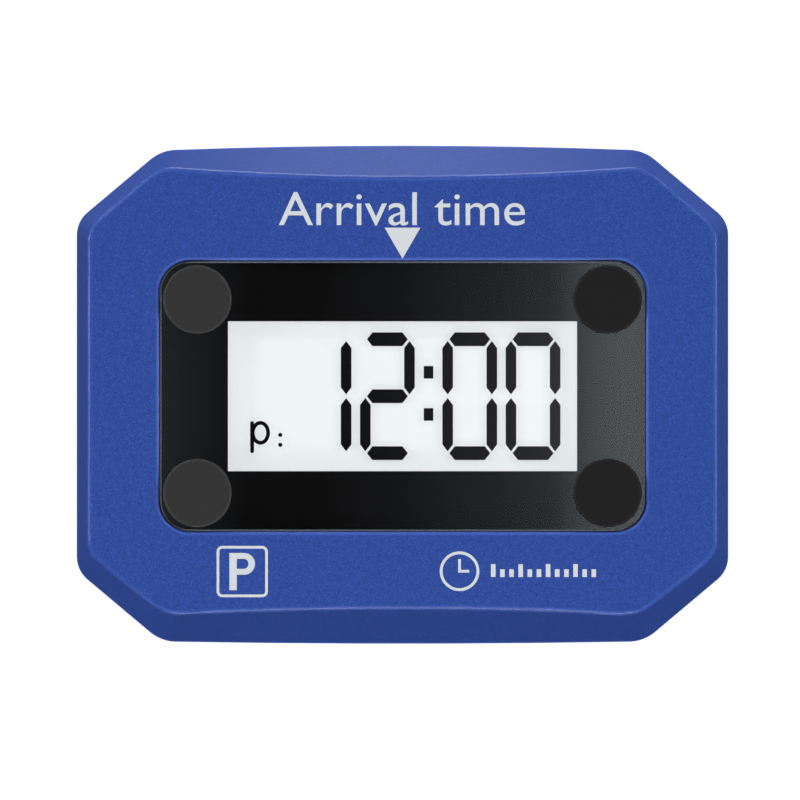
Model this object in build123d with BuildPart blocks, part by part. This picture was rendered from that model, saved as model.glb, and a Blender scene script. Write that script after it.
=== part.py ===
from build123d import *
import os

# An electronic parking disc: a flat octagonal case that hangs on the inside of a
# windscreen by four hook-and-loop dots and shows the arrival time through its window.
#
# Frame: millimetres, X to the right seen from outside the car, Z up, Y from the
# windscreen into the car. The origin is on the windscreen, in the middle of the dots.
# "Depth" below always means a distance along +Y from the windscreen.

# ---------------------------------------------------------------- driving dimensions
# Case, seen from the front
body_width = 102.0
body_height = 78.0
window_drop = 0.25  # the window's middle lies this far under the case's middle
corner_cut_x = 13.2  # the cut corners, at the parting line
corner_cut_z = 11.1
crown_top = 0.75  # how far the long top edge bows out
crown_bottom = 0.35
corner_radius_long = 6.4  # where a cut corner meets the long top or bottom edge
corner_radius_side = 4.6
wall = 1.8
front_wall = 2.0
rear_wall = 2.0
parting_behind_face = 9.2  # from the front face to the parting line

# Bevel from the parting line in to the flat front face
bevel_side = 1.9
bevel_top_corner = 2.65
bevel_top_middle = 5.05  # the bevel is deepest in the middle of the top edge
bevel_bottom_corner = 4.25
bevel_bottom_middle = 5.65
face_cut_x_top = 11.25
face_cut_x_bottom = 12.3
face_cut_z = 9.6
front_edge_radius = 0.6

# Taper from the parting line in to the flat back
taper_side = 2.6
taper_long = 3.0
back_edge_radius = 1.2

# Lip and rabbet that key the two halves together
lip_height = 1.2
lip_thickness = 0.8
lip_clearance = 0.1

# Window
window_margin = 13.0  # case side to window side
window_height = 42.4
window_radius = 4.8
window_edge_radius = 0.3
lens_gap = 0.15
lens_recess = 0.8
lens_thickness = 1.5
lens_edge_chamfer = 0.25
mask_thickness = 0.05
tape_thickness = 0.15
tape_width = 4.0
seat_thickness = 1.0
seat_corner_radius = 1.0
mask_edge = 0.1  # lens edge left bare of print
tape_edge = 0.5  # lens edge to the tape's outer edge
seat_rim = 1.4
frame_wall = 1.5  # of the frame behind the front wall that holds the lens
view_width = 54.5
view_height = 23.4

# Hook-and-loop dots
dot_diameter = 10.7
dot_inset_x = 6.0  # dot centre to window edge
dot_inset_z = 6.1
dot_thickness = 1.4
dot_edge_radius = 0.3
glue_thickness = 0.2
glue_edge = 0.2  # the glue stops this far inside its dot

# Display cell and its carrier
glass_width = 62.0
glass_thickness = 0.7
glass_below = 15.5  # from the view's middle down to the glass's lower edge
rear_glass_above = 14.5
contact_ledge = 2.9  # strip of the front glass left bare for the contacts
polariser_margin = 1.45
polariser_thickness = 0.2
reflector_thickness = 0.25
reflector_gap = 0.05
carrier_wall = 1.4
carrier_plate = 1.0
carrier_clearance = 0.2
carrier_ear_radius = 2.4
carrier_ear_out = 5.5  # from the glass's side to the screw
carrier_ear_z = 13.0
lower_ear_thickness = 1.2
zebra_width = 2.2
zebra_height = 3.0
zebra_margin = 2.0

# Circuit board
board_thickness = 1.2
board_bottom = -4.2
board_top_gap = 5.75  # case top to board top
board_corner_cut = 3.0
board_boss_gap = 1.1
board_post_drop = 4.5  # board top to the upper screws
fit_gap = 0.2

# AAA cells and their compartment
cell_diameter = 10.5
cell_length = 44.5
cell_nub_diameter = 3.8
cell_nub_length = 1.0
cell_sleeve = 0.15
cell_pitch_gap = 0.5
cell_side_gap = 0.3
cell_floor_gap = 0.2
cell_door_gap = 0.3
box_floor = 1.0
box_wall = 1.2
box_top = -6.2  # top of the compartment's inside
rib_height = 2.5
rib_width = 1.0
rib_end_gap = 4.0
contact_thickness = 0.3
contact_width = 8.6
contact_bump = 0.6
spring_length = 4.2
spring_wire = 0.5
spring_base_radius = 3.2
spring_turns = 3.5
spring_cone_angle = 14.0
bump_taper = 30.0
bridge_width = 4.0
tab_front = 9.6  # depth of the tabs' front edges
tab_depth = 2.0
tab_on_board = 1.6  # how far the tabs reach over the board's lower edge
side_tab_height = 3.0
cell_edge = 0.4

# Battery door
door_thickness = 1.5
door_half_width = 29.0
door_above_box = 3.0
door_gap = 0.1
door_side_gap = 0.15
door_lip = 1.5
tongue_top_gap = 2.0  # door top to the side tongues' upper ends
tongue_depth = 1.0
tongue_thickness = 0.7
top_tongue_half_width = 20.0
bed_thickness = 1.1  # wall left under the door
grip_rib_count = 6
grip_rib_pitch = 1.5
grip_depth = 0.6
grip_half_width = 9.0
grip_up = 8.0  # grip's lowest groove above the case's lower edge
arrow_half_width = 3.0
arrow_height = 2.6

# Keys and their switches
key_pitch = 18.0
key_z = 18.0
key_length = 11.0
key_height = 7.0
key_gap = 0.2
key_rise = 0.5  # above the floor of the dish
key_travel = 0.3
key_flange = 1.2
key_flange_thickness = 0.8
key_flange_gap = 0.1
key_stem_radius = 1.5
key_edge_radius = 0.3
mark_length = 3.4
mark_width = 0.7
mark_depth = 0.2
dish_depth = 0.8
dish_margin = 3.0
switch_size = 6.0
switch_base_height = 3.2
switch_shield_thickness = 0.3
switch_height = 5.0
plunger_radius = 1.7
plunger_flange = 0.5
plunger_flange_thickness = 0.6
plunger_flange_gap = 0.05
switch_floor = 1.5
dome_clearance = 0.05  # from the pressed plunger to the dome
dome_radius = 2.3
dome_top_radius = 1.2
dome_thickness = 0.1

# Screws
case_screw_in = 7.4  # case side to the case screws
case_screw_z = 20.0
case_boss_radius = 3.4
case_boss_meet = 1.0  # the bosses meet this far behind the parting line
case_head_radius = 2.25
case_head_height = 1.6
case_shank_radius = 1.3
case_screw_grip = 3.5  # boss material under the screw's head
case_screw_bite = 4.5
small_boss_radius = 2.2
small_head_radius = 1.75
small_head_height = 1.1
small_shank_radius = 1.0
small_bite = 2.2
thread_pitch = 0.6
cross_length = 1.2  # the driver's cross, as shares of the head's radius and height
cross_width = 0.26
cross_depth = 0.6
thread_depth = 0.15
thread_clearance = 0.02
hole_clearance = 0.15
head_clearance = 0.2
pilot_spare = 0.2  # pilot hole left in front of a screw's tip

# Rating label
label_width = 58.0
label_height = 9.6
label_z = 5.6
label_thickness = 0.1
label_recess = 0.2
label_radius = 1.0

# Parts on the circuit board
chip_size = 7.0
chip_height = 1.0
chip_stand = 0.1
chip_chamfer = 0.4
chip_dimple = 0.4
chip_place = (0.0, 27.5)
pin_length = 1.0
pin_pitch = 0.8
pin_thickness = 0.5
pins_per_side = 8
crystal_radius = 1.0
crystal_length = 6.0
crystal_x = 9.0
crystal_z = 27.5
crystal_pin = 0.3
crystal_pin_length = 1.5
sensor_size = 3.0
sensor_height = 1.0
sensor_place = (-14.0, 28.0)
chip_parts_z = 8.0
chip_parts_pitch = 6.0
chip_parts_size = 0.8
chip_parts_across = 9

# ---------------------------------------------------------------- worked-out depths
lens_front = dot_thickness + glue_thickness
face_depth = lens_front - lens_recess
inner_face_depth = face_depth + front_wall
parting_depth = face_depth + parting_behind_face
lens_back = lens_front + lens_thickness
mask_back = lens_back + mask_thickness
seat_front = mask_back + tape_thickness
seat_back = seat_front + seat_thickness
rear_glass_front = seat_back + glass_thickness
reflector_front = rear_glass_front + glass_thickness
reflector_back = reflector_front + reflector_thickness
plate_front = reflector_back + reflector_gap
plate_back = plate_front + carrier_plate
board_front = rear_glass_front + zebra_height
board_back = board_front + board_thickness
box_floor_front = plate_back + fit_gap
box_floor_back = box_floor_front + box_floor
cell_axis_depth = box_floor_back + cell_floor_gap + cell_diameter / 2
door_inner = cell_axis_depth + cell_diameter / 2 + cell_door_gap
body_back = door_inner + door_thickness
tongue_back = door_inner + tongue_thickness
door_seat = door_inner - door_gap
inner_back_depth = body_back - rear_wall
dish_floor = body_back - dish_depth
key_top = dish_floor + key_rise
flange_back = inner_back_depth - key_flange_gap
flange_front = flange_back - key_flange_thickness
boss_meet_depth = parting_depth + case_boss_meet
case_screw_seat = boss_meet_depth + case_screw_grip
shield_front = board_back + switch_base_height
shield_back = shield_front + switch_shield_thickness
plunger_back = board_back + switch_height
plunger_front = shield_front - plunger_flange_gap - plunger_flange_thickness
dome_base = board_back + switch_floor
dome_top = plunger_front - key_travel - dome_clearance

# ---------------------------------------------------------------- worked-out places
body_top = body_height / 2 + window_drop
body_bottom = body_top - body_height
half_width = body_width / 2
window_width = body_width - 2 * window_margin
dot_x = window_width / 2 - dot_inset_x
dot_z = window_height / 2 - dot_inset_z
front_glass_above = rear_glass_above + contact_ledge
zebra_z = rear_glass_above + contact_ledge / 2
zebra_length = glass_width - 2 * zebra_margin
case_screw_x = half_width - case_screw_in
case_screw_places = [(sx * case_screw_x, sz * case_screw_z) for sx in (-1, 1) for sz in (-1, 1)]
board_half_width = case_screw_x - case_boss_radius - board_boss_gap
board_top = body_top - board_top_gap
small_screw_x = glass_width / 2 + carrier_ear_out
upper_ears = [(sx * small_screw_x, carrier_ear_z) for sx in (-1, 1)]
lower_ears = [(sx * small_screw_x, -carrier_ear_z) for sx in (-1, 1)]
board_posts = [(sx * small_screw_x, board_top - board_post_drop) for sx in (-1, 1)]
cell_pitch = cell_diameter + cell_pitch_gap
box_inside_height = cell_diameter + cell_pitch + 2 * cell_side_gap
box_inside_length = cell_length + contact_bump + spring_length
box_half_length = box_inside_length / 2
box_z = box_top - box_inside_height / 2
upper_cell_z = box_z + cell_pitch / 2
lower_cell_z = box_z - cell_pitch / 2
door_top = box_top + door_above_box
tab_top = board_bottom + tab_on_board
key_places = {"plus": -key_pitch, "set": 0.0, "minus": key_pitch}  # minus to plus, read from behind

os.makedirs("parts", exist_ok=True)


# ---------------------------------------------------------------- shared helpers
def save(part, label):
    """Names a finished piece and writes it as its own node."""
    part.label = label
    export_step(part, f"parts/{label}.step")


def facing(depth, x=0.0, z=0.0):
    """Sketch plane at a depth, seen from the front: sketch x is X and sketch y is Z.
    Extruding by a negative amount goes into the car."""
    return Plane(origin=(x, depth, z), x_dir=(1, 0, 0), z_dir=(0, -1, 0))


def across(x, z=0.0):
    """Sketch plane square to X: sketch x is the depth and sketch y is Z."""
    return Plane(origin=(x, 0, z), x_dir=(0, 1, 0), z_dir=(1, 0, 0))


def case_level(depth, edge, inset=0.0):
    """One level of the case: eight sides, the long two bowed, all corners rounded.
    top and bottom are the heights where the long sides meet the cut corners, and
    top_middle and bottom_middle are their heights half way along."""
    side, top, bottom = edge["side"], edge["top"], edge["bottom"]
    end_top, end_bottom = side - edge["cut_top"], side - edge["cut_bottom"]
    with BuildSketch(facing(depth)) as level:
        with BuildLine():
            ThreePointArc((-end_top, top), (0, edge["top_middle"]), (end_top, top))
            Polyline((end_top, top), (side, top - edge["cut_z"]), (side, bottom + edge["cut_z"]),
                     (end_bottom, bottom))
            ThreePointArc((end_bottom, bottom), (0, edge["bottom_middle"]), (-end_bottom, bottom))
            Polyline((-end_bottom, bottom), (-side, bottom + edge["cut_z"]),
                     (-side, top - edge["cut_z"]), (-end_top, top))
        make_face()
        on_sides = level.vertices().filter_by(lambda v: abs(v.X) > side - 1e-6)
        fillet(on_sides, radius=corner_radius_side)
        on_long_sides = level.vertices().filter_by(lambda v: v.Y > top - 1e-6 or v.Y < bottom + 1e-6)
        fillet(on_long_sides, radius=corner_radius_long)
        if inset:
            offset(amount=-inset)
    return level.sketch


def window_shape(depth, inset=0.0):
    """The window's rounded rectangle, or one evenly inside it."""
    with BuildSketch(facing(depth)) as shape:
        RectangleRounded(window_width - 2 * inset, window_height - 2 * inset, window_radius - inset)
    return shape.sketch


def slab(depth, thickness, width, height, x=0.0, z=0.0):
    """A plain sheet or block square to the case, from a depth into the car."""
    with BuildPart() as block:
        with BuildSketch(facing(depth, x, z)):
            Rectangle(width, height)
        extrude(amount=-thickness)
    return block.part


def cross_head_screw(x, z, seat, head_radius, head_height, shank_radius, length):
    """A pan-head screw that points at the windscreen, its head seated at a depth."""
    root = shank_radius - thread_depth
    rings = int((length - shank_radius) / thread_pitch)
    thread = []
    for turn in range(rings):
        start = seat - length + shank_radius / 2 + turn * thread_pitch
        thread += [(start, root), (start + thread_pitch / 2, shank_radius)]
    thread_end = seat - length + shank_radius / 2 + rings * thread_pitch
    brim = seat + head_height / 2
    crown = head_radius - head_height / 2
    with BuildPart() as screw:
        with BuildSketch(across(x, z)):
            with BuildLine():
                Polyline((seat - length, 0), (seat - length, root / 2), *thread, (thread_end, root),
                         (seat, root), (seat, head_radius), (brim, head_radius))
                RadiusArc((brim, head_radius), (seat + head_height, crown), head_height / 2)
                Polyline((seat + head_height, crown), (seat + head_height, 0), (seat - length, 0))
            make_face()
        revolve(axis=Axis((x, 0, z), (0, 1, 0)))
        with BuildSketch(facing(seat + head_height, x, z)):
            Rectangle(cross_length * head_radius, cross_width * head_radius)
            Rectangle(cross_width * head_radius, cross_length * head_radius)
        extrude(amount=cross_depth * head_height, mode=Mode.SUBTRACT)
    return screw.part


# ---------------------------------------------------------------- the case's three levels
parting_edge = {
    "side": half_width,
    "top": body_top - crown_top,
    "top_middle": body_top,
    "bottom": body_bottom + crown_bottom,
    "bottom_middle": body_bottom,
    "cut_top": corner_cut_x,
    "cut_bottom": corner_cut_x,
    "cut_z": corner_cut_z,
}
face_edge = {
    "side": half_width - bevel_side,
    "top": body_top - crown_top - bevel_top_corner,
    "top_middle": body_top - bevel_top_middle,
    "bottom": body_bottom + crown_bottom + bevel_bottom_corner,
    "bottom_middle": body_bottom + bevel_bottom_middle,
    "cut_top": face_cut_x_top,
    "cut_bottom": face_cut_x_bottom,
    "cut_z": face_cut_z,
}
back_edge = {
    "side": half_width - taper_side,
    "top": body_top - crown_top - taper_long,
    "top_middle": body_top - taper_long,
    "bottom": body_bottom + crown_bottom + taper_long,
    "bottom_middle": body_bottom + taper_long,
    "cut_top": corner_cut_x,
    "cut_bottom": corner_cut_x,
    "cut_z": corner_cut_z,
}

# ---------------------------------------------------------------- front bezel
with BuildPart() as front_bezel:
    loft([case_level(face_depth, face_edge), case_level(parting_depth, parting_edge)], ruled=True)
    fillet(front_bezel.faces().sort_by(Axis.Y)[0].outer_wire().edges(), radius=front_edge_radius)
    # The hollow behind the front wall
    loft(
        [case_level(inner_face_depth, face_edge, wall), case_level(parting_depth, parting_edge, wall)],
        ruled=True,
        mode=Mode.SUBTRACT,
    )
    # The lip that keys into the rear cover
    extrude(case_level(parting_depth, parting_edge, wall - lip_thickness), amount=-lip_height)
    extrude(case_level(parting_depth, parting_edge, wall), amount=-lip_height, mode=Mode.SUBTRACT)
    # The frame that holds the lens, then the window and the opening behind it
    extrude(window_shape(inner_face_depth, -frame_wall), amount=-(seat_back - inner_face_depth))
    extrude(window_shape(face_depth), amount=-(seat_front - face_depth), mode=Mode.SUBTRACT)
    window_edge = front_bezel.faces().sort_by(Axis.Y)[0].inner_wires()[0]
    fillet(window_edge.edges(), radius=window_edge_radius)
    with BuildSketch(facing(seat_front)):
        RectangleRounded(glass_width - 2 * seat_rim, 2 * (glass_below - seat_rim), seat_corner_radius)
    extrude(amount=-seat_thickness, mode=Mode.SUBTRACT)
    # Bosses for the case screws and posts for the small ones
    with BuildSketch(facing(inner_face_depth)):
        with Locations(*case_screw_places):
            Circle(case_boss_radius)
    extrude(amount=-(boss_meet_depth - inner_face_depth))
    with BuildSketch(facing(inner_face_depth)):
        with Locations(*board_posts):
            Circle(small_boss_radius)
    extrude(amount=-(board_front - inner_face_depth))
    with BuildSketch(facing(seat_front)):
        with Locations(*upper_ears, *lower_ears):
            Circle(small_boss_radius)
    extrude(amount=-(plate_front - seat_front))
    # Screw holes
    with BuildSketch(facing(boss_meet_depth)):
        with Locations(*case_screw_places):
            Circle(case_shank_radius + thread_clearance)
    extrude(amount=case_screw_bite + pilot_spare, mode=Mode.SUBTRACT)
    with BuildSketch(facing(board_front)):
        with Locations(*board_posts):
            Circle(small_shank_radius + thread_clearance)
    extrude(amount=small_bite + pilot_spare, mode=Mode.SUBTRACT)
    with BuildSketch(facing(plate_front)):
        with Locations(*upper_ears, *lower_ears):
            Circle(small_shank_radius + thread_clearance)
    extrude(amount=small_bite + pilot_spare, mode=Mode.SUBTRACT)
save(front_bezel.part, "front_bezel")

# ---------------------------------------------------------------- rear cover
with BuildPart() as rear_form:
    loft([case_level(parting_depth, parting_edge), case_level(body_back, back_edge)], ruled=True)
    fillet(rear_form.faces().sort_by(Axis.Y)[-1].outer_wire().edges(), radius=back_edge_radius)

with BuildPart() as door_bed:
    # The thick part of the wall that the door slides on
    bed_half_width = door_half_width + tongue_depth + door_side_gap + door_lip
    bed_top = door_top + tongue_depth + door_side_gap + door_lip
    with BuildSketch(facing(door_seat - bed_thickness)):
        Polygon(
            (-bed_half_width, bed_top),
            (bed_half_width, bed_top),
            (bed_half_width, body_bottom),
            (-bed_half_width, body_bottom),
            align=None,
        )
    extrude(amount=-(body_back - door_seat + bed_thickness))
    add(rear_form.part, mode=Mode.INTERSECT)

with BuildPart() as rear_cover:
    add(rear_form.part)
    loft(
        [case_level(parting_depth, parting_edge, wall), case_level(inner_back_depth, back_edge, wall)],
        ruled=True,
        mode=Mode.SUBTRACT,
    )
    # The rabbet that takes the bezel's lip
    rabbet_inset = wall - lip_thickness - lip_clearance
    extrude(
        case_level(parting_depth, parting_edge, rabbet_inset),
        amount=-(lip_height + lip_clearance),
        mode=Mode.SUBTRACT,
    )
    add(door_bed.part)
    # The battery box reaches forward to just behind the display's carrier
    add(slab(box_floor_front, door_seat - box_floor_front, box_inside_length + 2 * box_wall,
             box_inside_height + 2 * box_wall, z=box_z))
    add(slab(box_floor_back, body_back - box_floor_back, box_inside_length, box_inside_height,
             z=box_z), mode=Mode.SUBTRACT)
    add(slab(box_floor_back, rib_height, box_inside_length - 2 * rib_end_gap, rib_width, z=box_z))
    # The door's recess, with grooves for its tongues, open at the case's lower edge
    recess_top = door_top + door_side_gap
    recess_drop = recess_top - body_bottom
    add(slab(door_seat, body_back - door_seat, 2 * (door_half_width + door_side_gap), recess_drop,
             z=recess_top - recess_drop / 2), mode=Mode.SUBTRACT)
    groove_depth = tongue_back + door_gap - door_seat
    add(slab(door_seat, groove_depth, 2 * (door_half_width + tongue_depth + door_side_gap),
             recess_drop, z=recess_top - recess_drop / 2), mode=Mode.SUBTRACT)
    add(slab(door_seat, groove_depth, 2 * (top_tongue_half_width + door_side_gap),
             2 * tongue_depth, z=recess_top), mode=Mode.SUBTRACT)
    # Slots for the battery contacts' tabs: one up through the box, one out through its end
    add(slab(tab_front - hole_clearance, tab_depth + 2 * hole_clearance,
             contact_thickness + 2 * hole_clearance, 2 * box_wall + 2 * hole_clearance,
             x=-box_half_length + contact_thickness / 2, z=box_top + box_wall),
        mode=Mode.SUBTRACT)
    add(slab(tab_front - hole_clearance, tab_depth + 2 * hole_clearance, 3 * box_wall,
             side_tab_height + 2 * hole_clearance, x=-box_half_length - box_wall, z=lower_cell_z),
        mode=Mode.SUBTRACT)
    # The dish round the keys, and the keys' holes
    with BuildSketch(facing(body_back, z=key_z)):
        SlotOverall(2 * key_pitch + key_length + 2 * dish_margin, key_height + 2 * dish_margin)
    extrude(amount=dish_depth, mode=Mode.SUBTRACT)
    with BuildSketch(facing(body_back, z=key_z)):
        with Locations(*[(x, 0) for x in key_places.values()]):
            SlotOverall(key_length + 2 * key_gap, key_height + 2 * key_gap)
    extrude(amount=rear_wall, mode=Mode.SUBTRACT)
    # The rating label's recess
    with BuildSketch(facing(body_back, z=label_z)):
        RectangleRounded(label_width + 2 * hole_clearance, label_height + 2 * hole_clearance,
                         label_radius + hole_clearance)
    extrude(amount=label_recess, mode=Mode.SUBTRACT)
    # Bosses and holes for the case screws
    with BuildSketch(facing(boss_meet_depth)):
        with Locations(*case_screw_places):
            Circle(case_boss_radius)
    extrude(amount=-(inner_back_depth - boss_meet_depth))
    with BuildSketch(facing(case_screw_seat)):
        with Locations(*case_screw_places):
            Circle(case_head_radius + head_clearance)
    extrude(amount=-(body_back - case_screw_seat), mode=Mode.SUBTRACT)
    with BuildSketch(facing(case_screw_seat)):
        with Locations(*case_screw_places):
            Circle(case_shank_radius + hole_clearance)
    extrude(amount=case_screw_grip, mode=Mode.SUBTRACT)
save(rear_cover.part, "rear_cover")

# ---------------------------------------------------------------- battery door
with BuildPart() as battery_door:
    door_height = door_top - body_bottom
    with BuildSketch(facing(door_inner, z=door_top - door_height / 2)):
        Rectangle(2 * door_half_width, door_height)
    extrude(amount=-door_thickness)
    # Tongues along the sides and the top
    with BuildSketch(facing(door_inner, z=door_top - tongue_top_gap - door_height / 2)):
        Rectangle(2 * (door_half_width + tongue_depth), door_height)
    with BuildSketch(facing(door_inner, z=door_top)):
        Rectangle(2 * top_tongue_half_width, 2 * tongue_depth)
    extrude(amount=-tongue_thickness)
    add(rear_form.part, mode=Mode.INTERSECT)
    # Thumb grip and an arrow that points the way the door slides
    grip_z = body_bottom + grip_up
    with BuildSketch(facing(body_back, z=grip_z)):
        with Locations(*[(0, i * grip_rib_pitch) for i in range(grip_rib_count)]):
            SlotOverall(2 * grip_half_width, grip_rib_pitch / 2)
    extrude(amount=grip_depth, mode=Mode.SUBTRACT)
    with BuildSketch(facing(body_back, z=grip_z + grip_rib_count * grip_rib_pitch + arrow_height)):
        Polygon((-arrow_half_width, 0), (arrow_half_width, 0), (0, -arrow_height), align=None)
    extrude(amount=grip_depth / 2, mode=Mode.SUBTRACT)
save(battery_door.part, "battery_door")

# ---------------------------------------------------------------- lens, its mask and tape
with BuildPart() as lens:
    extrude(window_shape(lens_front, lens_gap), amount=-lens_thickness)
    chamfer(lens.faces().sort_by(Axis.Y)[0].edges(), length=lens_edge_chamfer)
save(lens.part, "lens")

with BuildPart() as lens_mask:
    extrude(window_shape(lens_back, lens_gap + mask_edge), amount=-mask_thickness)
    with BuildSketch(facing(lens_back)):
        Rectangle(view_width, view_height)
    extrude(amount=-mask_thickness, mode=Mode.SUBTRACT)
save(lens_mask.part, "lens_mask")

with BuildPart() as lens_tape:
    extrude(window_shape(mask_back, lens_gap + tape_edge), amount=-tape_thickness)
    extrude(window_shape(mask_back, lens_gap + tape_edge + tape_width), amount=-tape_thickness,
            mode=Mode.SUBTRACT)
save(lens_tape.part, "lens_tape")

# ---------------------------------------------------------------- hook-and-loop dots
for side, sx in (("left", -1), ("right", 1)):
    for level, sz in (("upper", 1), ("lower", -1)):
        with BuildPart() as hook_dot:
            with BuildSketch(facing(0, sx * dot_x, sz * dot_z)):
                Circle(dot_diameter / 2)
            extrude(amount=-dot_thickness)
            fillet(hook_dot.faces().sort_by(Axis.Y)[0].edges(), radius=dot_edge_radius)
        save(hook_dot.part, f"hook_dot_{level}_{side}")
        with BuildPart() as dot_glue:
            with BuildSketch(facing(dot_thickness, sx * dot_x, sz * dot_z)):
                Circle(dot_diameter / 2 - glue_edge)
            extrude(amount=-glue_thickness)
        save(dot_glue.part, f"dot_glue_{level}_{side}")

# ---------------------------------------------------------------- display
glass_z = (front_glass_above - glass_below) / 2
rear_glass_z = (rear_glass_above - glass_below) / 2
film_width = view_width + 2 * polariser_margin
film_height = view_height + 2 * polariser_margin
save(slab(seat_back - polariser_thickness, polariser_thickness, film_width, film_height),
     "front_polariser")
save(slab(seat_back, glass_thickness, glass_width, front_glass_above + glass_below, z=glass_z),
     "front_glass")
save(slab(rear_glass_front, glass_thickness, glass_width, rear_glass_above + glass_below,
          z=rear_glass_z), "rear_glass")
save(slab(reflector_front, reflector_thickness, film_width, film_height), "reflector")
save(slab(rear_glass_front, zebra_height, zebra_length, zebra_width, z=zebra_z), "zebra_strip")

with BuildPart() as display_carrier:
    tray_width = glass_width + 2 * carrier_clearance
    tray_height = front_glass_above + glass_below + 2 * carrier_clearance
    add(slab(seat_back, plate_back - seat_back, tray_width + 2 * carrier_wall,
             tray_height + 2 * carrier_wall, z=glass_z))
    add(slab(seat_back, plate_front - seat_back, tray_width, tray_height, z=glass_z),
        mode=Mode.SUBTRACT)
    # Ears: the upper two also carry the circuit board
    for ears, ear_thickness in ((upper_ears, board_front - plate_front),
                                (lower_ears, lower_ear_thickness)):
        with BuildSketch(facing(plate_front)):
            for x, z in ears:
                with Locations((x, z)):
                    Circle(carrier_ear_radius)
                tray_side = (tray_width / 2 + carrier_wall / 2) * x / abs(x)
                with Locations(((x + tray_side) / 2, z)):
                    Rectangle(abs(x - tray_side), 2 * carrier_ear_radius)
        extrude(amount=-ear_thickness)
        with BuildSketch(facing(plate_front)):
            with Locations(*ears):
                Circle(small_shank_radius + hole_clearance)
        extrude(amount=-ear_thickness, mode=Mode.SUBTRACT)
    # The contact strip's slot
    add(slab(plate_front, carrier_plate, zebra_length + 2 * hole_clearance,
             zebra_width + 2 * hole_clearance, z=zebra_z), mode=Mode.SUBTRACT)
save(display_carrier.part, "display_carrier")

# ---------------------------------------------------------------- circuit board
with BuildPart() as circuit_board:
    with BuildSketch(facing(board_front, z=(board_top + board_bottom) / 2)) as outline:
        Rectangle(2 * board_half_width, board_top - board_bottom)
        chamfer(outline.vertices(), length=board_corner_cut)
    extrude(amount=-board_thickness)
    with BuildSketch(facing(board_front)):
        with Locations(*upper_ears, *board_posts):
            Circle(small_shank_radius + hole_clearance)
    extrude(amount=-board_thickness, mode=Mode.SUBTRACT)
save(circuit_board.part, "circuit_board")

with BuildPart() as controller_chip:
    with BuildSketch(facing(board_back + chip_stand, *chip_place)):
        Rectangle(chip_size, chip_size)
    extrude(amount=-chip_height)
    chamfer(controller_chip.edges().filter_by(Axis.Y), length=chip_chamfer)
    with BuildSketch(facing(board_back + chip_stand + chip_height, *chip_place)):
        with Locations((-chip_size / 3, chip_size / 3)):
            Circle(chip_dimple)
    extrude(amount=chip_stand, mode=Mode.SUBTRACT)
save(controller_chip.part, "controller_chip")

with BuildPart() as controller_pins:
    with BuildSketch(facing(board_back, *chip_place)):
        with PolarLocations(chip_size / 2 + pin_length / 2, 4):
            with GridLocations(0, pin_pitch, 1, pins_per_side):
                Rectangle(pin_length, pin_pitch / 2)
    extrude(amount=-pin_thickness)
save(controller_pins.part, "controller_pins")

with BuildPart() as quartz_crystal:
    crystal_depth = board_back + crystal_radius
    with BuildSketch(across(crystal_x)):
        with Locations((crystal_depth, crystal_z)):
            Circle(crystal_radius)
    extrude(amount=crystal_length)
    for pin_offset in (-crystal_radius / 2, crystal_radius / 2):
        with BuildSketch(across(crystal_x)):
            with Locations((board_back + crystal_pin / 2, crystal_z + pin_offset)):
                Rectangle(crystal_pin, crystal_pin)
        extrude(amount=-crystal_pin_length)
save(quartz_crystal.part, "quartz_crystal")

save(slab(board_back, sensor_height, sensor_size, sensor_size, *sensor_place), "motion_sensor")

with BuildPart() as chip_parts:
    with BuildSketch(facing(board_back, 0, chip_parts_z)):
        with GridLocations(chip_parts_pitch, 2 * chip_parts_size, chip_parts_across, 2):
            Rectangle(2 * chip_parts_size, chip_parts_size)
    extrude(amount=-chip_parts_size)
save(chip_parts.part, "chip_parts")

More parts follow.
